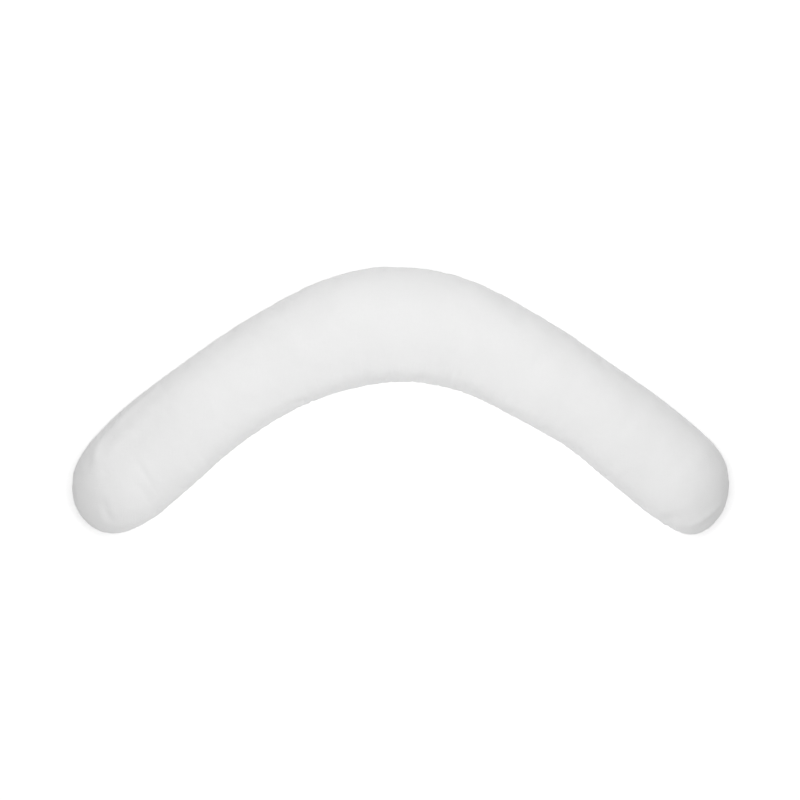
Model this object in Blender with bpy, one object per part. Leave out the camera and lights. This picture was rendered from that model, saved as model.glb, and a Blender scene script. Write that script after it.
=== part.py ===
"""A curved body pillow, lying flat on the surface it rests on.

One filled cloth solid: a long tube with round ends, bent into a wide arch. It is sewn from an upper and
a lower panel, whose seam runs round the outer edge, the inner edge and both tips. +X runs along the arch
from the left arm to the right one, +Y points from the open side to the outer edge, and +Z is up. The
origin lies on the floor, under the middle of the pillow's bounding box.
"""

import math
from collections import namedtuple

import bmesh
import bpy
from mathutils import Vector

MM = 0.001  # the tables below are in millimetres, and the model is in metres

# Driving dimensions, in metres.
MIDDLE_LENGTH = 1.712  # tip to tip, along the middle line
BEND_REACH = 0.315  # how far from the middle most of the bend is done
CAP_LENGTH = 0.138  # the rounded stretch at each tip
ARM_TURN = math.radians(40.0)  # how far each arm ends up turned from the middle of the arch

# The section, as shares of its height or width.
SEAM_SHARE = 0.47  # height of the seam, where the pillow is widest
UNDER_DEPTH = 1.09  # depth of the free lower half over the seam's height; the floor presses the rest flat
ROUNDNESS = 2.3  # exponent of the section: 2 is an ellipse, more is fuller
CAP_ROUNDNESS = 2.1  # the same for the tips, seen from above
FLOOR_ROUNDING = 0.005  # height over which the cloth leaves the floor

# The seam, in metres.
SEAM_DEPTH = 0.0035
SEAM_REACH = 0.009
TIP_SEAM_SHARE = 0.3  # how much of that depth is left at the very tips

# The mesh: it is finer beside the seam than on the crown.
SEGMENTS_AROUND = 48
RINGS_ALONG = 118
SEAM_CROWDING = 0.4
SPINE_STEPS = 1200

CLOTH_COLOUR = (0.80, 0.80, 0.79, 1.0)

# One row for each section, from the left tip to the right one.
#   station  distance along the middle line from the middle of the arch
#   width    across the tube, seen from above (the tips round it off)
#   height   crown above the floor
#   sway     how far the section sits out of the ideal line, towards the outer edge
#   lift     how far the seam at the outer edge is rolled up over the widest place, in degrees
Section = namedtuple("Section", "station width height sway lift")
SECTIONS = [
    Section(station=-856, width=225, height=168, sway=-18, lift=6),
    Section(station=-780, width=220, height=174, sway=-10, lift=14),
    Section(station=-705, width=227, height=178, sway=-4, lift=20),
    Section(station=-635, width=235, height=181, sway=0, lift=18),
    Section(station=-530, width=227, height=187, sway=4, lift=8),
    Section(station=-420, width=224, height=190, sway=5, lift=0),
    Section(station=-315, width=229, height=191, sway=4, lift=-2),
    Section(station=-215, width=242, height=196, sway=3, lift=0),
    Section(station=-115, width=258, height=204, sway=5, lift=2),
    Section(station=0, width=260, height=207, sway=5, lift=1),
    Section(station=115, width=250, height=203, sway=2, lift=-1),
    Section(station=215, width=233, height=197, sway=-2, lift=-2),
    Section(station=315, width=226, height=193, sway=-5, lift=1),
    Section(station=420, width=215, height=190, sway=-2, lift=3),
    Section(station=500, width=211, height=188, sway=2, lift=2),
    Section(station=590, width=220, height=184, sway=1, lift=4),
    Section(station=700, width=219, height=179, sway=0, lift=8),
    Section(station=780, width=216, height=174, sway=-5, lift=10),
    Section(station=856, width=234, height=170, sway=-25, lift=6),
]

# One row for each soft fold, dent or ridge of the filled cloth. It runs straight over the surface from
# one place to another. A place is a station and a turn round the section, in degrees: 0 is the outer
# edge, 90 the crown and 180 the inner edge. A height below 0 is a trough.
Fold = namedtuple("Fold", "station turn to_station to_turn width height")
FOLDS = [
    # The left end: a shoulder inside the outer edge, a valley beside it and creases across the arm.
    Fold(station=-545, turn=31, to_station=-715, to_turn=38, width=15, height=3.5),
    Fold(station=-715, turn=38, to_station=-755, to_turn=58, width=15, height=3.0),
    Fold(station=-560, turn=70, to_station=-735, to_turn=76, width=24, height=-4.5),
    Fold(station=-668, turn=84, to_station=-682, to_turn=134, width=13, height=-1.2),
    Fold(station=-706, turn=104, to_station=-716, to_turn=146, width=13, height=-1.2),
    Fold(station=-788, turn=94, to_station=-804, to_turn=124, width=13, height=-1.5),
    # The inner edge of the arch, where the cloth has to crowd together.
    Fold(station=-326, turn=146, to_station=-258, to_turn=160, width=14, height=-3.2),
    Fold(station=-172, turn=164, to_station=-140, to_turn=138, width=20, height=-2.6),
    Fold(station=-96, turn=174, to_station=-84, to_turn=122, width=14, height=-4.5),
    Fold(station=-62, turn=164, to_station=-14, to_turn=150, width=18, height=-2.4),
    Fold(station=38, turn=172, to_station=66, to_turn=150, width=19, height=-3.0),
    Fold(station=130, turn=174, to_station=121, to_turn=118, width=15, height=-4.5),
    Fold(station=232, turn=168, to_station=176, to_turn=144, width=20, height=-4.0),
    Fold(station=290, turn=166, to_station=352, to_turn=152, width=17, height=-2.5),
    Fold(station=-112, turn=188, to_station=-92, to_turn=230, width=18, height=-4.5),
    Fold(station=-34, turn=190, to_station=-46, to_turn=216, width=14, height=-3.0),
    Fold(station=70, turn=188, to_station=52, to_turn=232, width=19, height=-4.0),
    Fold(station=178, turn=192, to_station=200, to_turn=218, width=15, height=-3.0),
    # The outer edge: short dents where the seam draws the cloth in.
    Fold(station=-255, turn=10, to_station=-238, to_turn=38, width=14, height=-3.5),
    Fold(station=-352, turn=8, to_station=-356, to_turn=30, width=16, height=-3.0),
    Fold(station=255, turn=10, to_station=238, to_turn=46, width=14, height=-3.5),
    Fold(station=430, turn=10, to_station=442, to_turn=34, width=15, height=-3.0),
    # The right end: a ridge round the tip, and a dent at its inner side.
    Fold(station=838, turn=60, to_station=812, to_turn=132, width=12, height=3.0),
    Fold(station=752, turn=168, to_station=778, to_turn=132, width=15, height=-3.5),
    # Broad, shallow unevenness of the filling under the crown.
    Fold(station=-470, turn=98, to_station=-400, to_turn=112, width=55, height=-3.0),
    Fold(station=300, turn=72, to_station=320, to_turn=112, width=45, height=-3.0),
    Fold(station=560, turn=100, to_station=640, to_turn=84, width=50, height=2.5),
]


def table_value(name, station):
    """A column of SECTIONS at any station, on a smooth curve through the rows."""
    rows = [(row.station * MM, getattr(row, name)) for row in SECTIONS]
    station = min(max(station, rows[0][0]), rows[-1][0])
    after = next(i for i in range(1, len(rows)) if station <= rows[i][0])
    (x0, y0), (x1, y1) = rows[after - 1], rows[after]

    def slope(i):
        before, later = rows[max(i - 1, 0)], rows[min(i + 1, len(rows) - 1)]
        return (later[1] - before[1]) / (later[0] - before[0])

    span = x1 - x0
    t = (station - x0) / span
    start, end = slope(after - 1) * span, slope(after) * span
    return (
        y0 * (2 * t**3 - 3 * t**2 + 1)
        + start * (t**3 - 2 * t**2 + t)
        + y1 * (3 * t**2 - 2 * t**3)
        + end * (t**3 - t**2)
    )


def heading_at(station):
    """Direction of the middle line: level at the middle of the arch, and falling away on both sides."""
    return -ARM_TURN * math.tanh(station / BEND_REACH)


def trace_spine():
    """Points of the middle line at even steps, found by walking along its heading."""
    step = MIDDLE_LENGTH / SPINE_STEPS
    points = [Vector((0.0, 0.0, 0.0))]
    for i in range(SPINE_STEPS):
        heading = heading_at(-MIDDLE_LENGTH / 2 + (i + 0.5) * step)
        points.append(points[-1] + step * Vector((math.cos(heading), math.sin(heading), 0.0)))
    middle = points[SPINE_STEPS // 2].copy()
    return [point - middle for point in points]


def spine_at(spine, station):
    """(point on the middle line, direction to the outer edge) at a station."""
    place = min(max((station / MIDDLE_LENGTH + 0.5) * SPINE_STEPS, 0.0), SPINE_STEPS - 1e-6)
    before = int(place)
    point = spine[before].lerp(spine[before + 1], place - before)
    heading = heading_at(station)
    return point, Vector((-math.sin(heading), math.cos(heading), 0.0))


def cap_share(station):
    """Share of its full size that a section has: 1 along the tube, and down to 0 at the tips."""
    past = (abs(station) - (MIDDLE_LENGTH / 2 - CAP_LENGTH)) / CAP_LENGTH
    past = min(max(past, 0.0), 1.0)
    return (1 - past**CAP_ROUNDNESS) ** (1 / CAP_ROUNDNESS)


def pressed(height):
    """A height over the floor, with what lies below it pressed flat and a soft bend where it leaves."""
    if height <= -FLOOR_ROUNDING:
        return 0.0
    if height >= FLOOR_ROUNDING:
        return height
    return (height + FLOOR_ROUNDING) ** 2 / (4 * FLOOR_ROUNDING)


def fuller(value):
    """A sine or cosine, pushed outwards so that the section is fuller than an ellipse."""
    return math.copysign(abs(value) ** (2 / ROUNDNESS), value)


def surface_point(spine, station, turn):
    """The filled tube's own surface, before its seam and folds. It isn't pressed flat yet."""
    centre, outwards = spine_at(spine, station)
    size = cap_share(station)
    half_width = table_value("width", station) * MM / 2 * size
    height = table_value("height", station) * MM
    seam_height = SEAM_SHARE * height
    depth = (height - seam_height if math.sin(turn) > 0 else UNDER_DEPTH * seam_height) * size
    across = half_width * fuller(math.cos(turn)) + table_value("sway", station) * MM
    point = centre + outwards * across
    point.z = seam_height + depth * fuller(math.sin(turn))
    return point


def fold_height(point, folds):
    """How far the folds raise or sink the cloth at a point."""
    raised = 0.0
    for start, end, width, height in folds:
        run = end - start
        share = min(max((point - start).dot(run) / run.length_squared, 0.0), 1.0)
        away = (point - (start + run * share)).length / width
        if away < 3:
            raised += height * math.exp(-(away**2)) * (0.35 + 0.65 * math.sin(math.pi * share))
    return raised


def station_of_ring(share):
    """Station of a ring, from its share of the way between the tips. The rings crowd at the tips."""
    cap_arc = CAP_LENGTH * math.pi / 2
    tube = MIDDLE_LENGTH - 2 * CAP_LENGTH
    run = abs(share - 0.5) * (tube + 2 * cap_arc)
    past = run - tube / 2
    if past > 0:
        run = tube / 2 + CAP_LENGTH * math.sin(past / CAP_LENGTH)
    return math.copysign(run, share - 0.5)


def crowded(longitude):
    """Turn round the section of a line of the mesh: the lines crowd beside the two seams."""
    return longitude - SEAM_CROWDING / 2 * math.sin(2 * longitude)


def seam_lift(station, turn):
    """Extra turn that carries the mesh with the outer seam, where the cloth is rolled up over the edge."""
    return math.radians(table_value("lift", station)) * max(math.cos(turn), 0.0) ** 2


def seam_groove(station, turn):
    """Depth to which the seam draws the cloth in, from the distance to the nearer seam line."""
    size = cap_share(station)
    half_width = table_value("width", station) * MM / 2 * size
    away = abs(math.sin(turn)) * half_width / SEAM_REACH
    return SEAM_DEPTH * (TIP_SEAM_SHARE + (1 - TIP_SEAM_SHARE) * size) * math.exp(-(away**2))


def shape_pillow(mesh):
    """Moves the points of a unit sphere, whose poles are the tips, onto the pillow."""
    spine = trace_spine()

    def place(station, turn):
        return surface_point(spine, station * MM, math.radians(turn))

    folds = [
        (place(f.station, f.turn), place(f.to_station, f.to_turn), f.width * MM, f.height * MM)
        for f in FOLDS
    ]
    drawn_in = {}
    for vert in mesh.verts:
        station = station_of_ring(math.acos(min(max(-vert.co.z, -1.0), 1.0)) / math.pi)
        line_turn = crowded(math.atan2(vert.co.y, vert.co.x))
        drawn_in[vert] = seam_groove(station, line_turn)
        vert.co = surface_point(spine, station, line_turn + seam_lift(station, line_turn))
    mesh.normal_update()
    for vert in mesh.verts:
        vert.co += vert.normal * (fold_height(vert.co, folds) - drawn_in[vert])
    for vert in mesh.verts:
        vert.co.z = pressed(vert.co.z)


def stand_on_origin(mesh):
    """Puts the middle of the bounding box over the origin."""
    for axis in (0, 1):
        places = [vert.co[axis] for vert in mesh.verts]
        bmesh.ops.translate(
            mesh,
            verts=mesh.verts,
            vec=Vector([-(min(places) + max(places)) / 2 if i == axis else 0.0 for i in range(3)]),
        )


def cotton_material():
    """White woven cotton: matt, with a faint sheen from the fibre ends."""
    material = bpy.data.materials.new("white_cotton")
    material.use_nodes = True
    shader = material.node_tree.nodes["Principled BSDF"]
    shader.inputs["Base Color"].default_value = CLOTH_COLOUR
    shader.inputs["Roughness"].default_value = 0.9
    shader.inputs["Metallic"].default_value = 0.0
    shader.inputs["Sheen Weight"].default_value = 0.2
    material.diffuse_color = CLOTH_COLOUR
    return material


def add_pillow(collection):
    """The filled pillow, as one closed solid."""
    mesh = bmesh.new()
    bmesh.ops.create_uvsphere(mesh, u_segments=SEGMENTS_AROUND, v_segments=RINGS_ALONG, radius=1.0)
    shape_pillow(mesh)
    stand_on_origin(mesh)
    data = bpy.data.meshes.new("body_pillow")
    mesh.to_mesh(data)
    mesh.free()
    data.shade_smooth()
    data.materials.append(cotton_material())
    pillow = bpy.data.objects.new("body_pillow", data)
    collection.objects.link(pillow)
    return pillow


def clear_scene():
    for obj in list(bpy.data.objects):
        bpy.data.objects.remove(obj)


def main():
    clear_scene()
    collection = bpy.data.collections.new("Body pillow")
    bpy.context.scene.collection.children.link(collection)
    add_pillow(collection)


main()
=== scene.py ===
"""A curved body pillow of white cotton, lying flat in a plain white studio.

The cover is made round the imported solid, in the solid's own frame. The lines of a sphere are laid over the
pillow's shape, with the poles at its tips. The filling's pressure is simulated on that mesh, and then the
seam, its puckers and the creases are pressed into a finer one.
"""

import math
from collections import namedtuple

import bmesh
import bpy
import numpy as np
from bpy.props import FloatProperty, IntProperty, PointerProperty, StringProperty
from bpy.types import Operator, Panel, PropertyGroup
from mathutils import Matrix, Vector


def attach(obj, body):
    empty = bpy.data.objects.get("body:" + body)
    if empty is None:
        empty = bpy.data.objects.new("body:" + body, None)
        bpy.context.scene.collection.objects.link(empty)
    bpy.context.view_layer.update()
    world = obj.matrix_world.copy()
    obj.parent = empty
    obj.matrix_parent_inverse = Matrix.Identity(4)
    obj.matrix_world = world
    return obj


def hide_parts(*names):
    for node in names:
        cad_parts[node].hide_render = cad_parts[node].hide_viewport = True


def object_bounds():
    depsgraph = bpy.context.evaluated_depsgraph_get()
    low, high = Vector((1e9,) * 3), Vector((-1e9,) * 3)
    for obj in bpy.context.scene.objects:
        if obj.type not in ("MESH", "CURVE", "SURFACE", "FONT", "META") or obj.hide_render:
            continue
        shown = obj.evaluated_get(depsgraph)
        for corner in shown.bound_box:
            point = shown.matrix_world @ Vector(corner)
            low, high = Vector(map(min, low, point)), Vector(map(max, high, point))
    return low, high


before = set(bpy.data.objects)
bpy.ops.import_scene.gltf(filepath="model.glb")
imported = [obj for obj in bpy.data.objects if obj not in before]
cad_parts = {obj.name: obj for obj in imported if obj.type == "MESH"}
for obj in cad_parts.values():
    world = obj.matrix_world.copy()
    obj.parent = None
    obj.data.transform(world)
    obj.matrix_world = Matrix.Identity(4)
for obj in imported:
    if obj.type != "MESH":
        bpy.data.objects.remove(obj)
cad_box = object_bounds()

bl_info = {
    "name": "Body pillow",
    "version": (1, 0, 0),
    "blender": (4, 5, 0),
    "location": "3D View > Sidebar > Body pillow",
    "description": "Makes a filled body pillow of white cotton and the studio it lies in",
    "category": "Add Mesh",
}

MM = 0.001  # the tables are in millimetres, and the model is in metres
WAVE_UNIT = math.pi / 10  # the wave texture's scale for bands 1 m apart
TINY = 1e-9  # keeps a length of nothing from being divided by

# The simulated filling. Distances are in metres.
SETTLE_FRAMES = 20  # frames in which the filling settles
CLOTH_QUALITY = 5  # steps that the simulation takes in a frame
PLAIN_WEIGHT = 0.5  # shrink weight of plain cloth, between the spare cloth's 0 and the seam's 1
FLAT_LIMIT = 0.0008  # the cloth below this height lies on the floor and stays there
SEAM_BAND = 0.010  # half the width of the strip that the stitching shortens
OUTER_SHRINK = 0.35  # how much the outer edge's stitching shortens it, as a share of the inner edge's
FLANK_PLACE = 0.045  # how far from the seam most of the spare cloth lies
FLANK_BAND = 0.030  # how far the spare cloth reaches to both sides of that place
LEAST_SLACK = 0.35  # share of the spare cloth that there is away from the inner side of the bend
BEND_BAND = 0.42  # how far from the middle of the arch its inner side has more spare cloth and puckers
BROAD_PASSES = 160  # rounds of averaging along the seam that leave only the broad part of a move
SAME_RING = 0.0001  # points whose places along the seam differ by less are on one ring
POLE_SIZE = 0.0001  # a point of the ball nearer to its axis is a pole, and lies on no line round the section
TIGHT_REACH = 0.055  # how far from the seam the filling starts to hold the cloth tight
TIP_REACH = 0.045  # how far from a tip the cloth starts to move
SHOULDER_PLACE = 0.645  # how far from the middle of the arch the filling rounds out each arm's outer side
SHOULDER_REACH = 0.13  # how far to both sides of that place it does so
SHOULDER_TIGHTNESS = 0.9  # share of each wrinkle that this smooths out

# The creases' form. Widths are each crease's own.
CREASE_STEPS = 40  # points along a crease that distances to it are taken from
CREASE_REACH = 4  # widths away from a crease or a pucker at which it ends
CREASE_ENDS = 0.12  # how far into a half wave a crease starts and ends, so its ends are a third of its height
RIM_PLACE = 1.9  # widths away from a crease at which its rim is highest
RIM_SPREAD = 0.6  # how broad the rim is, in square widths

# The seam's groove, the floor and the flat pattern.
SEAM_POWER = 1.4  # exponent of the groove's profile: 1 is sharp at its bottom, and 2 is round
TIP_SEAM = 0.3  # share of its depth that the groove keeps at the tips
FLOOR_CALM = 0.012  # height over which creases and lumps fade in above the floor, in metres
PANEL_GAP = 1.4  # how far apart the two panels lie in the flat pattern, in metres
PATTERN_MAP = "panel_pattern"

# The seam's puckers. Distances are in metres, and each pair is the least and the most.
PUCKER_SEED = 11
INNER_PUCKERS = 0.9  # strength of the puckers along the arms' inner side
OUTER_PUCKERS = 0.6  # and along the outer edge
PUCKER_GAPS = (0.009, 0.028)
PUCKER_DEPTHS = (0.0004, 0.0021)
PUCKER_WIDTHS = (0.0030, 0.0058)
PUCKER_LENGTHS = (0.009, 0.030)
PUCKER_SLANT = 0.45  # how far a pucker may lean, as a slope to both sides

# The woven cotton. A range is two values of a noise, between which the cloth changes.
THREAD_WANDER = 1.2  # how far the threads stray from straight
WANDER_SCALE = 0.35  # how finely they do, as the wave texture counts it
CLOUD_RANGE = (0.35, 0.65)  # from the cloth's colour to the shade colour, in clouds
SLUB_RANGE = (0.8, 1.3)  # the same, in slubs
WEAR_RANGE = (0.3, 0.7)  # from smoother to rougher, in the same clouds
WEAR = 0.05  # how far that goes to both sides of the cloth's roughness
SHEEN_ROUGHNESS = 0.5  # how widely the fibre ends spread the light
THREAD_SHINE = 0.3  # dry cotton fibres shine less than a smooth surface, whose level is 0.5

# The studio.
FLOOR_ROUGHNESS = 0.9
FAR_CLIP = 100.0  # the camera sees no farther, in metres

# The studio's softboxes, in metres and watts: two overhead, and two long, low ones behind and in front.
Softbox = namedtuple("Softbox", "name place width depth power")
SOFTBOXES = [
    Softbox(name="overhead_softbox", place=(0.0, 0.0, 3.5), width=2.0, depth=2.0, power=57.9),
    Softbox(name="lower_softbox", place=(0.0, 0.05, 2.4), width=1.2, depth=1.2, power=13.8),
    Softbox(name="back_softbox", place=(0.0, 3.0, 0.9), width=3.0, depth=0.8, power=12.1),
    Softbox(name="front_softbox", place=(0.0, -3.0, 0.9), width=3.0, depth=0.8, power=5.1),
]
AIM = (0.0, 0.0, 0.1)  # the place they all point at

# The filling's lumps under the cloth: wave length and height, in metres.
LUMP_SEED = 5
LUMPS = ((0.150, 0.0004), (0.070, 0.00025), (0.034, 0.00015))
WAVES_PER_LUMP = 28
LUMP_FADE = 0.05  # distance from the seam over which they fade in

# One row for each section, from the left tip to the right one.
#   station  distance along the middle line from the middle of the arch
#   width    across the tube, seen from above (the tips round it off)
#   height   crown above the floor
#   sway     how far the section sits out of the ideal line, towards the outer edge
#   lift     how far the seam at the outer edge is rolled up over the widest place, in degrees
Section = namedtuple("Section", "station width height sway lift")
SECTIONS = [
    Section(station=-856, width=225, height=168, sway=-18, lift=6),
    Section(station=-780, width=220, height=174, sway=-10, lift=14),
    Section(station=-705, width=227, height=178, sway=-4, lift=20),
    Section(station=-635, width=235, height=181, sway=0, lift=18),
    Section(station=-530, width=227, height=187, sway=4, lift=8),
    Section(station=-420, width=224, height=190, sway=5, lift=0),
    Section(station=-315, width=229, height=191, sway=4, lift=-2),
    Section(station=-215, width=242, height=196, sway=3, lift=0),
    Section(station=-115, width=258, height=204, sway=5, lift=2),
    Section(station=0, width=260, height=207, sway=5, lift=1),
    Section(station=115, width=250, height=203, sway=2, lift=-1),
    Section(station=215, width=233, height=197, sway=-2, lift=-2),
    Section(station=315, width=226, height=193, sway=-5, lift=1),
    Section(station=420, width=215, height=190, sway=-2, lift=3),
    Section(station=500, width=211, height=188, sway=2, lift=2),
    Section(station=590, width=220, height=184, sway=1, lift=4),
    Section(station=700, width=219, height=179, sway=0, lift=8),
    Section(station=780, width=216, height=174, sway=-5, lift=10),
    Section(station=856, width=234, height=170, sway=-25, lift=6),
]

# One row for each fold, dent or ridge of the filled cloth. It runs over the surface from one place to
# another. A place is a station and a turn round the section, in degrees: 0 is the outer edge, 90 the crown,
# 180 the inner edge and 270 the underside. The bow is how far the crease's middle bends to its left. A height
# below 0 is a trough. The rim is the share of a trough's depth by which the cloth rises on both sides of it.
Crease = namedtuple("Crease", "station turn to_station to_turn bow width height rim")
CREASES = [
    # The left end: a shoulder inside the outer edge, a valley beside it and creases across the arm.
    Crease(station=-545, turn=31, to_station=-715, to_turn=38, bow=0, width=14, height=4.0, rim=0.0),
    Crease(station=-715, turn=38, to_station=-755, to_turn=58, bow=0, width=14, height=3.5, rim=0.0),
    Crease(station=-560, turn=70, to_station=-735, to_turn=76, bow=0, width=22, height=-5.0, rim=0.0),
    Crease(station=-668, turn=84, to_station=-682, to_turn=134, bow=4, width=7, height=-1.0, rim=0.2),
    Crease(station=-706, turn=104, to_station=-716, to_turn=146, bow=-4, width=10, height=-1.2, rim=0.2),
    Crease(station=-788, turn=94, to_station=-804, to_turn=124, bow=4, width=8, height=-1.5, rim=0.3),
    # The inner edge of the arch, where the cloth has to crowd together.
    Crease(station=-326, turn=146, to_station=-258, to_turn=160, bow=0, width=13, height=-3.2, rim=0.2),
    Crease(station=-172, turn=164, to_station=-140, to_turn=138, bow=0, width=20, height=-2.6, rim=0.1),
    Crease(station=-96, turn=174, to_station=-84, to_turn=122, bow=0, width=12, height=-4.5, rim=0.3),
    Crease(station=-62, turn=164, to_station=-14, to_turn=150, bow=0, width=18, height=-2.4, rim=0.1),
    Crease(station=38, turn=172, to_station=66, to_turn=150, bow=0, width=18, height=-3.0, rim=0.2),
    Crease(station=130, turn=174, to_station=121, to_turn=118, bow=0, width=13, height=-4.5, rim=0.3),
    Crease(station=232, turn=168, to_station=176, to_turn=144, bow=0, width=18, height=-4.0, rim=0.2),
    Crease(station=290, turn=166, to_station=352, to_turn=152, bow=0, width=16, height=-2.5, rim=0.2),
    Crease(station=-112, turn=188, to_station=-92, to_turn=230, bow=0, width=17, height=-4.5, rim=0.2),
    Crease(station=-34, turn=190, to_station=-46, to_turn=216, bow=0, width=13, height=-3.0, rim=0.2),
    Crease(station=70, turn=188, to_station=52, to_turn=232, bow=0, width=18, height=-4.0, rim=0.2),
    Crease(station=178, turn=192, to_station=200, to_turn=218, bow=0, width=14, height=-3.0, rim=0.2),
    # The outer edge: short dents where the seam draws the cloth in.
    Crease(station=-255, turn=10, to_station=-238, to_turn=38, bow=0, width=13, height=-3.5, rim=0.2),
    Crease(station=-352, turn=8, to_station=-356, to_turn=30, bow=0, width=15, height=-3.0, rim=0.2),
    Crease(station=255, turn=10, to_station=238, to_turn=46, bow=0, width=13, height=-3.5, rim=0.2),
    Crease(station=430, turn=10, to_station=442, to_turn=34, bow=0, width=14, height=-3.0, rim=0.2),
    # The right end: the cloth is drawn in just before the tip, below a low ridge.
    Crease(station=838, turn=60, to_station=812, to_turn=132, bow=-4, width=8, height=3.4, rim=0.0),
    Crease(station=846, turn=56, to_station=832, to_turn=140, bow=-4, width=12, height=-3.6, rim=0.0),
    Crease(station=752, turn=168, to_station=778, to_turn=132, bow=0, width=14, height=-3.5, rim=0.2),
    # Broad, shallow unevenness of the filling: two dips and a swell on the crown.
    Crease(station=-470, turn=98, to_station=-400, to_turn=112, bow=0, width=55, height=-3.0, rim=0.0),
    Crease(station=300, turn=72, to_station=320, to_turn=112, bow=0, width=45, height=-3.0, rim=0.0),
    Crease(station=560, turn=100, to_station=640, to_turn=84, bow=0, width=50, height=2.5, rim=0.0),
    # The long, low swell of the inner side.
    Crease(station=-600, turn=141, to_station=700, to_turn=141, bow=0, width=32, height=6.0, rim=0.0),
]


class PillowForm(PropertyGroup):
    """The filled cover's sizes."""

    middle_length: FloatProperty(
        name="Length",
        description="Tip to tip, along the middle line",
        default=1.712,
        unit="LENGTH",
    )
    bend_reach: FloatProperty(
        name="Bend reach",
        description="How far from the middle most of the bend is done",
        default=0.315,
        unit="LENGTH",
    )
    arm_turn: FloatProperty(
        name="Arm turn",
        description="How far each arm ends up turned from the middle of the arch",
        default=math.radians(40.0),
        unit="ROTATION",
    )
    cap_length: FloatProperty(
        name="Tip length",
        description="The rounded stretch at each tip",
        default=0.138,
        unit="LENGTH",
    )
    seam_share: FloatProperty(
        name="Seam height",
        description="Height of the seam, as a share of the crown's",
        default=0.47,
        subtype="FACTOR",
    )
    under_depth: FloatProperty(
        name="Under depth",
        description="Depth of the free lower half, as a share of the seam's height",
        default=1.09,
        subtype="FACTOR",
    )
    roundness: FloatProperty(
        name="Fullness of the section",
        description="Exponent of the section: 2 is an ellipse, and more is fuller",
        default=2.3,
    )
    cap_roundness: FloatProperty(
        name="Fullness of the tips",
        description="The same for the tips, seen from above",
        default=2.1,
    )
    floor_rounding: FloatProperty(
        name="Floor rounding",
        description="Height over which the cloth leaves the floor",
        default=0.005,
        unit="LENGTH",
    )
    seam_depth: FloatProperty(
        name="Seam depth",
        description="How far the seam draws the cover in",
        default=0.002,
        unit="LENGTH",
    )
    seam_reach: FloatProperty(
        name="Seam reach",
        description="Distance from the seam over which it does so",
        default=0.003,
        unit="LENGTH",
    )
    bend_puckers: FloatProperty(
        name="Bend puckers",
        description="How much more the seam puckers on the inner side of the arch",
        default=0.9,
        subtype="FACTOR",
    )
    pole_calm: FloatProperty(
        name="Tip calm",
        description="Distance from a tip over which the puckers fade in",
        default=0.03,
        unit="LENGTH",
    )
    crease_girth: FloatProperty(
        name="Crease girth",
        description="Radius of the section that the creases' turns are measured on",
        default=0.108,
        unit="LENGTH",
    )
    lines_around: IntProperty(
        name="Lines around",
        description="Lines of the simulated mesh round the section",
        default=64,
    )
    rings_along: IntProperty(
        name="Rings along",
        description="Rings of the simulated mesh between the tips",
        default=320,
    )
    filling_pressure: FloatProperty(
        name="Filling pressure",
        description="How hard the filling presses the cover outwards",
        default=9.0,
        subtype="FACTOR",
    )
    seam_shrink: FloatProperty(
        name="Seam shrink",
        description="How much shorter the seam's stitching makes the cloth along it",
        default=0.045,
        subtype="FACTOR",
    )
    flank_slack: FloatProperty(
        name="Flank slack",
        description="How much more cloth there is beside the inner seam than the shape needs",
        default=0.03,
        subtype="FACTOR",
    )
    crown_tightness: FloatProperty(
        name="Crown tightness",
        description="How much of each wrinkle the filling smooths out on the crown",
        default=0.85,
        subtype="FACTOR",
    )
    furthest_move: FloatProperty(
        name="Furthest move",
        description="How far the filling may press a point from where it starts",
        default=0.009,
        unit="LENGTH",
    )
    crowding: FloatProperty(
        name="Crowding",
        description="How much closer the lines lie beside the seam than at the crown",
        default=0.5,
        subtype="FACTOR",
    )


class CottonFinish(PropertyGroup):
    """Colours and weave of the cover."""

    cloth_hex: StringProperty(
        name="Cloth colour",
        description="sRGB colour of the cover, as hex digits",
        default="ECECEC",
    )
    shade_hex: StringProperty(
        name="Shade colour",
        description="sRGB colour of the cover's duller places, as hex digits",
        default="EAEAEA",
    )
    roughness: FloatProperty(
        name="Roughness",
        description="Roughness of the cotton",
        default=0.88,
        subtype="FACTOR",
    )
    sheen: FloatProperty(
        name="Sheen",
        description="Light caught by the fibre ends",
        default=0.15,
        subtype="FACTOR",
    )
    thread_spacing: FloatProperty(
        name="Thread spacing",
        description="Distance between neighbouring threads of the weave, as drawn",
        default=0.0014,
        unit="LENGTH",
    )
    thread_depth: FloatProperty(
        name="Thread depth",
        description="Height of the threads over the gaps between them",
        default=0.00012,
        unit="LENGTH",
    )
    slub_length: FloatProperty(
        name="Slub length",
        description="Length of the thicker stretches of thread",
        default=0.030,
        unit="LENGTH",
    )
    slub_width: FloatProperty(
        name="Slub width",
        description="Width of the thicker stretches of thread, as drawn",
        default=0.0028,
        unit="LENGTH",
    )
    slub_depth: FloatProperty(
        name="Slub depth",
        description="Height of the thicker stretches of thread",
        default=0.00025,
        unit="LENGTH",
    )
    slub_tint: FloatProperty(
        name="Slub tint",
        description="How much of the shade colour the thicker threads take",
        default=0.5,
        subtype="FACTOR",
    )
    rumple_size: FloatProperty(
        name="Rumple size",
        description="Size of the soft rumples left by washing",
        default=0.038,
        unit="LENGTH",
    )
    rumple_depth: FloatProperty(
        name="Rumple depth",
        description="Depth of the soft rumples left by washing",
        default=0.0012,
        unit="LENGTH",
    )
    cloud_size: FloatProperty(
        name="Cloud size",
        description="Size of the faint lighter and duller patches",
        default=0.11,
        unit="LENGTH",
    )


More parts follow.
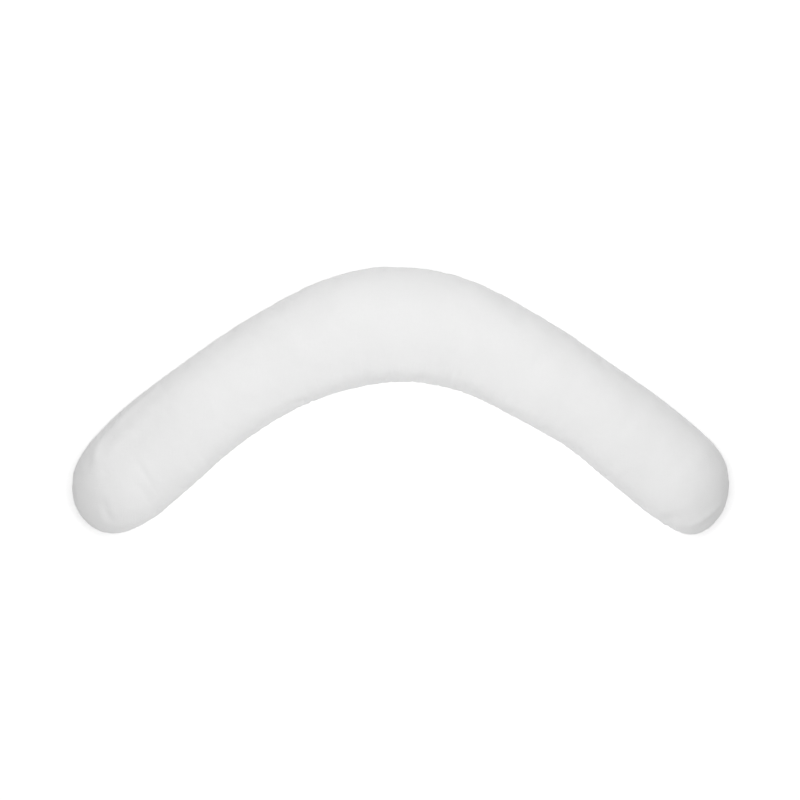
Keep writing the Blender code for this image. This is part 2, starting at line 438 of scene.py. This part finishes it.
class StudioSet(PropertyGroup):
    """Floor, light and camera."""

    floor_size: FloatProperty(
        name="Floor size",
        description="Side of the square floor",
        default=24.0,
        unit="LENGTH",
    )
    floor_hex: StringProperty(
        name="Floor colour",
        description="sRGB colour of the floor, as hex digits",
        default="F8F8F8",
    )
    floor_glow: FloatProperty(
        name="Floor glow",
        description="Light that the white sweep itself gives off",
        default=0.31,
    )
    room_light: FloatProperty(
        name="Room light",
        description="Strength of the even light from all round",
        default=0.28,
    )
    lamp_share: FloatProperty(
        name="Lamp share",
        description="Share of their full power that the softboxes give",
        default=1.0,
        subtype="FACTOR",
    )
    camera_height: FloatProperty(
        name="Camera height",
        description="How far the camera is above the floor",
        default=6.5,
        unit="LENGTH",
    )
    camera_aside: FloatProperty(
        name="Camera aside",
        description="How far the camera is to the right of the pillow's middle",
        default=-0.0014,
        unit="LENGTH",
    )
    camera_back: FloatProperty(
        name="Camera back",
        description="How far the camera is from the pillow's middle, towards the outer edge",
        default=0.0022,
        unit="LENGTH",
    )
    frame_width: FloatProperty(
        name="Frame width",
        description="Width of what the camera sees, at half the pillow's height",
        default=1.8,
        unit="LENGTH",
    )


def table_curve(name, stations):
    """A column of SECTIONS at the stations, on a smooth curve through the rows."""
    x = np.array([row.station * MM for row in SECTIONS])
    y = np.array([getattr(row, name) for row in SECTIONS], float)
    slopes = np.empty_like(y)
    slopes[1:-1] = (y[2:] - y[:-2]) / (x[2:] - x[:-2])
    slopes[0] = (y[1] - y[0]) / (x[1] - x[0])
    slopes[-1] = (y[-1] - y[-2]) / (x[-1] - x[-2])
    stations = np.clip(stations, x[0], x[-1])
    i = np.clip(np.searchsorted(x, stations) - 1, 0, len(x) - 2)
    span = x[i + 1] - x[i]
    t = (stations - x[i]) / span
    return (
        y[i] * (2 * t**3 - 3 * t**2 + 1)
        + slopes[i] * span * (t**3 - 2 * t**2 + t)
        + y[i + 1] * (3 * t**2 - 2 * t**3)
        + slopes[i + 1] * span * (t**3 - t**2)
    )


class Shape:
    """The pillow's filled shape, as a surface over stations along it and turns round it."""

    SPINE_STEPS = 1200  # steps of the middle line
    CLOTH_STEPS = 16  # steps in which the cloth's width is measured round the section

    def __init__(self, form):
        self.form = form
        self.tube = form.middle_length - 2 * form.cap_length
        self.half_run = self.tube / 2 + form.cap_length * math.pi / 2
        self.stations = np.linspace(-self.half_run, self.half_run, self.SPINE_STEPS + 1)
        step = 2 * self.half_run / self.SPINE_STEPS
        heading = self.heading(self.stations[:-1] + step / 2)
        walk = step * np.column_stack([np.cos(heading), np.sin(heading)])
        self.line = np.vstack([[0.0, 0.0], np.cumsum(walk, axis=0)])
        self.line -= self.line[self.SPINE_STEPS // 2]

    def heading(self, station):
        """Direction of the middle line: level at the middle, and falling away on both sides."""
        return -self.form.arm_turn * np.tanh(station / self.form.bend_reach)

    def cap_share(self, station):
        """Share of its full size that a section has: 1 along the tube, and down to 0 at the tips."""
        past = np.clip((np.abs(station) - self.tube / 2) / self.form.cap_length, 0.0, 1.0)
        return (1 - past**self.form.cap_roundness) ** (1 / self.form.cap_roundness)

    def fuller(self, value):
        """A sine or cosine, pushed outwards so that the section is fuller than an ellipse."""
        return np.copysign(np.abs(value) ** (2 / self.form.roundness), value)

    def half_width(self, station):
        """Half the section's width, seen from above."""
        return table_curve("width", station) * MM / 2 * self.cap_share(station)

    def beside_line(self, along, across):
        """Places in the plane, from distances along the middle line and across it, towards the outer edge."""
        heading = self.heading(along)
        outwards = np.column_stack([-np.sin(heading), np.cos(heading)])
        centre = np.column_stack([np.interp(along, self.stations, self.line[:, i]) for i in (0, 1)])
        return centre + outwards * across[:, None]

    def turn_of_line(self, station, line_turn):
        """Turn round the section of a line of the mesh, once the seam at the outer edge is rolled up."""
        lift = np.radians(table_curve("lift", station))
        return line_turn + lift * np.maximum(np.cos(line_turn), 0.0) ** 2

    def free(self, station, line_turn):
        """The filled tube's own surface, before its seam and folds. It isn't pressed flat yet."""
        form = self.form
        turn = self.turn_of_line(station, line_turn)
        across = self.half_width(station) * self.fuller(np.cos(turn)) + table_curve("sway", station) * MM
        height = table_curve("height", station) * MM
        seam = form.seam_share * height
        depth = np.where(np.sin(turn) > 0, height - seam, form.under_depth * seam)
        up = seam + depth * self.cap_share(station) * self.fuller(np.sin(turn))
        return np.column_stack([self.beside_line(station, across), up])

    def cloth_across(self, station, line_turn, from_turn):
        """Width of cloth from the crown's or the base's line to another one, positive on the outer side."""
        total = np.zeros(len(station))
        last = self.free(station, np.full(len(station), from_turn))
        for share in np.linspace(0.0, 1.0, self.CLOTH_STEPS + 1)[1:]:
            here = self.free(station, from_turn + (line_turn - from_turn) * share)
            total += np.linalg.norm(here - last, axis=1)
            last = here
        return np.copysign(total, np.cos(line_turn))

    def pressed(self, height):
        """Heights over the floor, with what lies below it pressed flat and a soft bend where it leaves."""
        bend = self.form.floor_rounding
        soft = (np.clip(height, -bend, bend) + bend) ** 2 / (4 * bend)
        return np.where(height >= bend, height, soft)

    def run_of_ring(self, share):
        """Distance along the seam of a ring, from the ring's share of the way between the tips."""
        return (share - 0.5) * 2 * self.half_run

    def station_of_run(self, run):
        """Station of a distance along the seam: the seam goes round the tips, so the rings crowd there."""
        past = np.maximum(np.abs(run) - self.tube / 2, 0.0) / self.form.cap_length
        return np.copysign(np.minimum(np.abs(run), self.tube / 2) + self.form.cap_length * np.sin(past), run)

    def crowded(self, longitude):
        """Turn round the section of a line of the mesh: the lines crowd beside the seam on both sides."""
        return longitude - self.form.crowding / 2 * np.sin(2 * longitude)


def mesh_points(mesh):
    points = np.empty(len(mesh.vertices) * 3)
    mesh.vertices.foreach_get("co", points)
    return points.reshape(-1, 3)


def set_mesh_points(mesh, points):
    mesh.vertices.foreach_set("co", np.asarray(points, np.float32).ravel())
    mesh.update()


def mesh_normals(mesh):
    normals = np.empty(len(mesh.vertices) * 3, np.float32)
    mesh.vertex_normals.foreach_get("vector", normals)
    return normals.reshape(-1, 3).astype(float)


def keep_attribute(mesh, name, values):
    mesh.attributes.new(name, "FLOAT", "POINT").data.foreach_set("value", np.asarray(values, np.float32))


def read_attribute(mesh, name):
    values = np.empty(len(mesh.vertices), np.float32)
    mesh.attributes[name].data.foreach_get("value", values)
    return values.astype(float)


def only(obj):
    """Makes obj the only selected object, and the active one."""
    bpy.ops.object.select_all(action="DESELECT")
    obj.select_set(True)
    bpy.context.view_layer.objects.active = obj


def linear(hex_digits):
    """The linear colour of sRGB hex digits."""
    shares = [int(hex_digits[i : i + 2], 16) / 255 for i in (0, 2, 4)]
    return [s / 12.92 if s <= 0.04045 else ((s + 0.055) / 1.055) ** 2.4 for s in shares] + [1.0]


def add_node(tree, kind, settings=None, inputs=None, links=None):
    """Adds a node: its settings, its sockets' values, and its sockets' links as name: output socket."""
    node = tree.nodes.new(kind)
    for name, value in (settings or {}).items():
        setattr(node, name, value)
    for name, value in (inputs or {}).items():
        node.inputs[name].default_value = value
    for name, output in (links or {}).items():
        tree.links.new(output, node.inputs[name])
    return node


def put_in_order(mesh):
    """Rebuilds the mesh with its faces and edges in a fixed order.

    The sphere comes with them in a different order in each run, and the simulation's result would
    follow it.
    """
    faces = [list(face.vertices) for face in mesh.polygons]
    first = [face.index(min(face)) for face in faces]
    ordered = bmesh.new()
    points = [ordered.verts.new(vertex.co) for vertex in mesh.vertices]
    for face in sorted(face[i:] + face[:i] for face, i in zip(faces, first)):
        ordered.faces.new([points[i] for i in face])
    ordered.to_mesh(mesh)
    ordered.free()


def averaged_along(mesh, run, values, passes):
    """The values of the mesh's points, averaged over and over with their neighbours' along the seam."""
    ends = np.empty(len(mesh.edges) * 2, np.int32)
    mesh.edges.foreach_get("vertices", ends)
    one, other = ends[0::2], ends[1::2]
    along = np.abs(run[one] - run[other]) > SAME_RING
    here = np.concatenate([one[along], other[along]])
    there = np.concatenate([other[along], one[along]])
    count = np.bincount(here, minlength=len(values))
    for _ in range(passes):
        sums = [np.bincount(here, column[there], len(values)) for column in values.T]
        values = 0.5 * values + 0.5 * np.column_stack(sums) / count[:, None]
    return values


def lump_height(points):
    """How far the lumps of the filling raise the cloth: waves of a few lengths, in all directions."""
    draw = np.random.default_rng(LUMP_SEED)
    raised = np.zeros(len(points))
    for length, height in LUMPS:
        ways = draw.normal(size=(WAVES_PER_LUMP, 3))
        ways *= 2 * math.pi / length / np.linalg.norm(ways, axis=1)[:, None]
        phases = draw.uniform(0, 2 * math.pi, WAVES_PER_LUMP)
        waves = np.cos(points @ ways.T + phases).sum(axis=1)
        raised += height * waves * math.sqrt(2 / WAVES_PER_LUMP)
    return raised


def pucker_height(run, across, half_length, seed):
    """How far the short puckers that the stitching draws in sink the cloth beside one side of the seam.

    run is the distance along the seam, and across the distance from it, above it or below.
    """
    draw = np.random.default_rng(seed)
    sunk = np.zeros(len(run))
    place = -half_length
    while place < half_length:
        place += draw.uniform(*PUCKER_GAPS)
        depth, width, length = (
            draw.uniform(*pair) for pair in (PUCKER_DEPTHS, PUCKER_WIDTHS, PUCKER_LENGTHS)
        )
        lean = draw.uniform(-PUCKER_SLANT, PUCKER_SLANT)
        near = np.abs(run - place) < CREASE_REACH * width + length
        along, aside = run[near] - place, across[near]
        sunk[near] += depth * np.exp(-(((along - lean * aside) / width) ** 2) - (aside / length) ** 2)
    return -sunk


def crease_height(station, turn, girth):
    """How far the creases raise or sink the cloth at places on the surface.

    girth is the radius that makes a turn round the section a distance.
    """
    raised = np.zeros(len(station))
    shares = np.linspace(0.0, 1.0, CREASE_STEPS + 1)
    for crease in CREASES:
        middle = math.radians(crease.turn + crease.to_turn) / 2
        off = (turn - middle + math.pi) % (2 * math.pi) - math.pi
        start = np.array([crease.station * MM, (math.radians(crease.turn) - middle) * girth])
        end = np.array([crease.to_station * MM, (math.radians(crease.to_turn) - middle) * girth])
        run = end - start
        length = np.linalg.norm(run)
        left = np.array([-run[1], run[0]]) / length
        bowed = 4 * crease.bow * MM * (shares * (1 - shares))  # nothing at the ends, all at the middle
        path = start + shares[:, None] * run + bowed[:, None] * left
        reach = CREASE_REACH * crease.width * MM
        place = np.column_stack([station, off * girth])
        from_middle = np.linalg.norm(place - (start + end) / 2, axis=1)
        near = np.flatnonzero(from_middle < length / 2 + abs(crease.bow) * MM + reach)
        apart = np.linalg.norm(place[near, None] - path[None], axis=2)
        nearest = apart.argmin(axis=1)
        away = apart[np.arange(len(near)), nearest] / (crease.width * MM)
        strength = np.sin(math.pi * (CREASE_ENDS + (1 - 2 * CREASE_ENDS) * shares[nearest]))
        profile = np.exp(-(away**2)) - crease.rim * np.exp(-((away - RIM_PLACE) ** 2) / RIM_SPREAD)
        raised[near] += crease.height * MM * strength * profile
    return raised


def cotton_material(finish):
    """Plain-woven cotton, washed and pressed.

    It is matt and nearly white. The threads cross one over one and give a fine, even grain. Thicker
    threads, the slubs, run through it both ways as faint short streaks. The fibre ends catch a little light
    at the edges.
    """
    material = bpy.data.materials.new("woven_cotton")
    material.use_nodes = True
    tree = material.node_tree
    shader = tree.nodes["Principled BSDF"]
    pattern = add_node(tree, "ShaderNodeUVMap", {"uv_map": PATTERN_MAP}).outputs["UV"]
    place = add_node(tree, "ShaderNodeTexCoord").outputs["Object"]
    threads, slubs = [], []
    for direction in ("X", "Y"):
        # The real threads lie about 0.35 mm apart. They are drawn coarser, so that the grain shows.
        wave = add_node(
            tree,
            "ShaderNodeTexWave",
            {"bands_direction": direction},
            {
                "Scale": WAVE_UNIT / finish.thread_spacing,
                "Distortion": THREAD_WANDER,
                "Detail": 1.0,
                "Detail Scale": WANDER_SCALE,
            },
            {"Vector": pattern},
        )
        threads.append(wave.outputs["Fac"])
        long, thin = 1 / finish.slub_length, 1 / finish.slub_width
        stretched = add_node(
            tree,
            "ShaderNodeMapping",
            inputs={"Scale": (thin, long, 1.0) if direction == "X" else (long, thin, 1.0)},
            links={"Vector": pattern},
        )
        streaks = add_node(
            tree,
            "ShaderNodeTexNoise",
            inputs={"Scale": 1.0, "Detail": 2.0},
            links={"Vector": stretched.outputs["Vector"]},
        )
        slubs.append(streaks.outputs["Fac"])
    crossing = add_node(
        tree, "ShaderNodeMath", {"operation": "MULTIPLY"}, links={0: threads[0], 1: threads[1]}
    )
    slub = add_node(tree, "ShaderNodeMath", {"operation": "ADD"}, links={0: slubs[0], 1: slubs[1]})
    clouds = add_node(
        tree,
        "ShaderNodeTexNoise",
        inputs={"Scale": 1 / finish.cloud_size, "Detail": 3.0},
        links={"Vector": place},
    )
    rumple = add_node(
        tree,
        "ShaderNodeTexNoise",
        inputs={"Scale": 1 / finish.rumple_size, "Detail": 4.0},
        links={"Vector": place},
    )
    duller = add_node(
        tree,
        "ShaderNodeMapRange",
        inputs={"From Min": CLOUD_RANGE[0], "From Max": CLOUD_RANGE[1]},
        links={"Value": clouds.outputs["Fac"]},
    )
    streaky = add_node(
        tree,
        "ShaderNodeMapRange",
        inputs={"From Min": SLUB_RANGE[0], "From Max": SLUB_RANGE[1], "To Max": finish.slub_tint},
        links={"Value": slub.outputs["Value"]},
    )
    shade = add_node(
        tree,
        "ShaderNodeMath",
        {"operation": "ADD", "use_clamp": True},
        links={0: duller.outputs["Result"], 1: streaky.outputs["Result"]},
    )
    colour = add_node(
        tree,
        "ShaderNodeMix",
        {"data_type": "RGBA"},
        {"A": linear(finish.cloth_hex), "B": linear(finish.shade_hex)},
        {"Factor": shade.outputs["Value"]},
    )
    worn = add_node(
        tree,
        "ShaderNodeMapRange",
        inputs={
            "From Min": WEAR_RANGE[0],
            "From Max": WEAR_RANGE[1],
            "To Min": finish.roughness - WEAR,
            "To Max": finish.roughness + WEAR,
        },
        links={"Value": clouds.outputs["Fac"]},
    )
    soft = add_node(
        tree,
        "ShaderNodeBump",
        inputs={"Strength": 1.0, "Distance": finish.rumple_depth},
        links={"Height": rumple.outputs["Fac"]},
    )
    streak = add_node(
        tree,
        "ShaderNodeBump",
        inputs={"Strength": 1.0, "Distance": finish.slub_depth},
        links={"Height": slub.outputs["Value"], "Normal": soft.outputs["Normal"]},
    )
    grain = add_node(
        tree,
        "ShaderNodeBump",
        inputs={"Strength": 1.0, "Distance": finish.thread_depth},
        links={"Height": crossing.outputs["Value"], "Normal": streak.outputs["Normal"]},
    )
    tree.links.new(colour.outputs["Result"], shader.inputs["Base Color"])
    tree.links.new(worn.outputs["Result"], shader.inputs["Roughness"])
    tree.links.new(grain.outputs["Normal"], shader.inputs["Normal"])
    shader.inputs["Sheen Weight"].default_value = finish.sheen
    shader.inputs["Sheen Roughness"].default_value = SHEEN_ROUGHNESS
    shader.inputs["Specular IOR Level"].default_value = THREAD_SHINE
    return material


class OBJECT_OT_pillow_cover(Operator):
    """Makes the filled cover of the pillow, with its seam and creases"""

    bl_idname = "object.pillow_cover"
    bl_label = "Pillow cover"
    bl_options = {"REGISTER", "UNDO"}

    def execute(self, context):
        form = context.scene.pillow_form
        shape = Shape(form)
        bpy.ops.object.select_all(action="DESELECT")
        bpy.ops.mesh.primitive_uv_sphere_add(
            segments=form.lines_around, ring_count=form.rings_along, radius=1.0, calc_uvs=False
        )
        cover = context.active_object
        cover.name = cover.data.name = "pillow_cover"
        put_in_order(cover.data)
        self.lay_on_shape(cover.data, shape)
        self.fill(context, cover, shape)
        self.refine(cover, shape)
        self.lay_out_pattern(cover.data, shape)
        cover.data.materials.append(cotton_material(context.scene.cotton_finish))
        bpy.ops.object.shade_smooth()
        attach(cover, "root")
        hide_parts("body_pillow")
        return {"FINISHED"}

    def lay_on_shape(self, mesh, shape):
        """Lays the sphere's points on the pillow, and keeps each one's place along it and round it."""
        ball = mesh_points(mesh)
        run = shape.run_of_ring(np.arccos(np.clip(-ball[:, 2], -1.0, 1.0)) / math.pi)
        station = shape.station_of_run(run)
        line_turn = shape.crowded(np.arctan2(ball[:, 1], ball[:, 0]))
        off_pole = np.hypot(ball[:, 0], ball[:, 1]) > POLE_SIZE
        points = shape.free(station, line_turn)
        points[:, 2] = shape.pressed(points[:, 2])
        low, high = points.min(axis=0), points.max(axis=0)
        set_mesh_points(mesh, points - np.array([*(low + high)[:2] / 2, 0.0]))
        upper, lower = np.abs(line_turn), -np.abs(line_turn)
        keep_attribute(mesh, "run", run)
        keep_attribute(mesh, "station", station)
        keep_attribute(mesh, "line_cos", np.cos(line_turn) * off_pole)
        keep_attribute(mesh, "line_sin", np.sin(line_turn) * off_pole)
        keep_attribute(mesh, "upper_across", shape.cloth_across(station, upper, math.pi / 2))
        keep_attribute(mesh, "lower_across", shape.cloth_across(station, lower, -math.pi / 2))

    def fill(self, context, cover, shape):
        """Lets the filling round the cover out between its seam and the floor."""
        form, mesh = shape.form, cover.data
        start = mesh_points(mesh)
        run, station = read_attribute(mesh, "run"), read_attribute(mesh, "station")
        line_turn = np.arctan2(read_attribute(mesh, "line_sin"), read_attribute(mesh, "line_cos"))
        away = np.abs(np.sin(line_turn)) * shape.half_width(station)
        seam = np.exp(-((away / SEAM_BAND) ** 2))
        held = start[:, 2] < FLAT_LIMIT
        inner = 0.5 - 0.5 * np.cos(line_turn)  # 0 at the outer edge, and 1 at the inner one
        bend = np.exp(-((station / BEND_BAND) ** 2))
        slack = np.exp(-(((away - FLANK_PLACE) / FLANK_BAND) ** 2))
        slack *= LEAST_SLACK + (1 - LEAST_SLACK) * inner * bend
        stitched = seam * (OUTER_SHRINK + (1 - OUTER_SHRINK) * inner)
        weights = PLAIN_WEIGHT + (1 - PLAIN_WEIGHT) * stitched - PLAIN_WEIGHT * slack
        for name, values in (("held", held), ("cut", weights)):
            group = cover.vertex_groups.new(name=name)
            for i in np.flatnonzero(values > 0):
                group.add([int(i)], float(values[i]), "REPLACE")
        only(cover)
        filling = cover.modifiers.new("filling", "CLOTH")
        cloth = filling.settings
        cloth.quality = CLOTH_QUALITY
        cloth.use_pressure = True
        cloth.uniform_pressure_force = form.filling_pressure
        cloth.vertex_group_mass = "held"
        cloth.vertex_group_shrink = "cut"
        cloth.shrink_min = -form.flank_slack
        cloth.shrink_max = form.seam_shrink
        cloth.effector_weights.gravity = 0.0
        filling.collision_settings.use_collision = False
        filling.point_cache.frame_end = SETTLE_FRAMES
        for frame_number in range(1, SETTLE_FRAMES + 1):
            context.scene.frame_set(frame_number)
        bpy.ops.object.modifier_apply(modifier=filling.name)
        context.scene.frame_set(1)
        move = mesh_points(mesh) - start
        move -= averaged_along(mesh, run, move, BROAD_PASSES)
        length = np.maximum(np.linalg.norm(move, axis=1), TINY)
        tight = form.crown_tightness * (1 - np.exp(-((away / TIGHT_REACH) ** 4)))
        tip = 1 - np.exp(-(((shape.half_run - np.abs(run)) / TIP_REACH) ** 2))
        shoulder = np.exp(-(((np.abs(station) - SHOULDER_PLACE) / SHOULDER_REACH) ** 4)) * (1 - inner)
        free = (1 - tight) * (1 - SHOULDER_TIGHTNESS * shoulder) * tip
        move *= (np.minimum(length, form.furthest_move) / length * free)[:, None]
        points = start + move
        points[:, 2] = np.where(start[:, 2] < FLAT_LIMIT, start[:, 2], np.maximum(points[:, 2], 0.0))
        set_mesh_points(mesh, points)

    def refine(self, cover, shape):
        """Subdivides the cover once and presses the seam, its puckers and the creases into it."""
        only(cover)
        finer = cover.modifiers.new("finer", "SUBSURF")
        finer.levels = finer.render_levels = 1
        bpy.ops.object.modifier_apply(modifier=finer.name)
        form, mesh = shape.form, cover.data
        run, station = read_attribute(mesh, "run"), read_attribute(mesh, "station")
        line_turn = np.arctan2(read_attribute(mesh, "line_sin"), read_attribute(mesh, "line_cos"))
        inner = np.cos(line_turn) < 0
        across = np.sin(line_turn) * shape.half_width(station)
        tip = 1 - np.exp(-(((shape.half_run - np.abs(run)) / form.pole_calm) ** 2))
        bend = np.exp(-((station / BEND_BAND) ** 2))
        strength = tip * np.where(inner, INNER_PUCKERS + form.bend_puckers * bend, OUTER_PUCKERS)
        raised = lump_height(mesh_points(mesh)) * np.clip(np.abs(across) / LUMP_FADE, 0.0, 1.0)
        raised += crease_height(station, shape.turn_of_line(station, line_turn), form.crease_girth)
        puckers = np.where(
            inner,
            pucker_height(run, across, shape.half_run, PUCKER_SEED),
            pucker_height(run, across, shape.half_run, PUCKER_SEED + 1),
        )
        raised += strength * puckers
        away = np.abs(across) / form.seam_reach
        depth = form.seam_depth * (TIP_SEAM + (1 - TIP_SEAM) * shape.cap_share(station))
        raised -= depth * np.exp(-(away**SEAM_POWER))
        points = mesh_points(mesh)
        off_floor = np.clip(points[:, 2] / FLOOR_CALM, 0.0, 1.0)
        points += mesh_normals(mesh) * (raised * off_floor)[:, None]
        points[:, 2] = np.maximum(points[:, 2], 0.0)
        set_mesh_points(mesh, points)

    def lay_out_pattern(self, mesh, shape):
        """Gives the cover a UV map in metres: its two panels as they are cut, flat, from the cloth."""
        corners = np.empty(len(mesh.loops), np.int32)
        mesh.loops.foreach_get("vertex_index", corners)
        counts = np.empty(len(mesh.polygons), np.int32)
        mesh.polygons.foreach_get("loop_total", counts)
        face = np.repeat(np.arange(len(counts)), counts)
        heights = read_attribute(mesh, "line_sin")[corners]
        upper = (np.bincount(face, heights) > 0)[face]
        across = np.where(
            upper,
            read_attribute(mesh, "upper_across")[corners],
            read_attribute(mesh, "lower_across")[corners],
        )
        flat = shape.beside_line(read_attribute(mesh, "run")[corners], across)
        flat[:, 1] -= np.where(upper, 0.0, PANEL_GAP)
        mesh.uv_layers.new(name=PATTERN_MAP).data.foreach_set("uv", flat.astype(np.float32).ravel())


class OBJECT_OT_pillow_studio(Operator):
    """Makes the floor, the light and the camera"""

    bl_idname = "object.pillow_studio"
    bl_label = "Studio"
    bl_options = {"REGISTER", "UNDO"}

    def execute(self, context):
        studio = context.scene.pillow_studio
        self.add_floor(context, studio)
        self.add_light(context, studio)
        self.add_camera(context, studio)
        context.scene.view_settings.view_transform = "Standard"
        return {"FINISHED"}

    def add_floor(self, context, studio):
        """Adds a sweep of matt white acrylic, lit from below. It spreads the light and hides most shadow."""
        bpy.ops.object.select_all(action="DESELECT")
        bpy.ops.mesh.primitive_plane_add(size=studio.floor_size)
        floor = context.active_object
        floor.name = floor.data.name = "studio_floor"
        material = bpy.data.materials.new("white_acrylic_sweep")
        material.use_nodes = True
        shader = material.node_tree.nodes["Principled BSDF"]
        shader.inputs["Base Color"].default_value = linear(studio.floor_hex)
        shader.inputs["Roughness"].default_value = FLOOR_ROUGHNESS
        shader.inputs["Emission Color"].default_value = linear(studio.floor_hex)
        shader.inputs["Emission Strength"].default_value = studio.floor_glow
        floor.data.materials.append(material)

    def add_light(self, context, studio):
        """Adds the even light of the room and the softboxes."""
        world = bpy.data.worlds.new("studio_room")
        world.use_nodes = True
        background = world.node_tree.nodes["Background"]
        background.inputs["Color"].default_value = (1.0, 1.0, 1.0, 1.0)
        background.inputs["Strength"].default_value = studio.room_light
        context.scene.world = world
        for box in SOFTBOXES:
            bpy.ops.object.light_add(type="AREA", location=box.place)
            lamp = context.active_object
            lamp.name = lamp.data.name = box.name
            lamp.data.shape = "RECTANGLE"
            lamp.data.size = box.width
            lamp.data.size_y = box.depth
            lamp.data.energy = box.power * studio.lamp_share
            lamp.rotation_euler = (Vector(AIM) - Vector(box.place)).to_track_quat("-Z", "Y").to_euler()
            lamp.visible_camera = False

    def add_camera(self, context, studio):
        """Adds the camera, which looks straight down on the pillow."""
        place = (studio.camera_aside, studio.camera_back, studio.camera_height)
        bpy.ops.object.camera_add(location=place, rotation=(0.0, 0.0, 0.0))
        camera = context.active_object
        camera.name = camera.data.name = "camera"
        low, high = cad_box
        distance = studio.camera_height - (low.z + high.z) / 2
        camera.data.lens = camera.data.sensor_width * distance / studio.frame_width
        camera.data.clip_end = FAR_CLIP
        context.scene.camera = camera


class VIEW3D_PT_body_pillow(Panel):
    """Lists the pillow's pieces and sizes"""

    bl_label = "Body pillow"
    bl_space_type = "VIEW_3D"
    bl_region_type = "UI"
    bl_category = "Body pillow"

    def draw(self, context):
        for group, operator in (
            (context.scene.pillow_form, OBJECT_OT_pillow_cover),
            (context.scene.cotton_finish, None),
            (context.scene.pillow_studio, OBJECT_OT_pillow_studio),
        ):
            box = self.layout.box()
            for name in group.bl_rna.properties.keys():
                if name not in ("rna_type", "name"):
                    box.prop(group, name)
            if operator:
                box.operator(operator.bl_idname)


CLASSES = (
    PillowForm,
    CottonFinish,
    StudioSet,
    OBJECT_OT_pillow_cover,
    OBJECT_OT_pillow_studio,
    VIEW3D_PT_body_pillow,
)


def register():
    for cls in CLASSES:
        bpy.utils.register_class(cls)
    bpy.types.Scene.pillow_form = PointerProperty(type=PillowForm)
    bpy.types.Scene.cotton_finish = PointerProperty(type=CottonFinish)
    bpy.types.Scene.pillow_studio = PointerProperty(type=StudioSet)


def unregister():
    del bpy.types.Scene.pillow_studio
    del bpy.types.Scene.cotton_finish
    del bpy.types.Scene.pillow_form
    for cls in reversed(CLASSES):
        bpy.utils.unregister_class(cls)


def main():
    register()
    bpy.ops.object.pillow_cover()
    bpy.ops.object.pillow_studio()


if __name__ == "__main__":
    main()
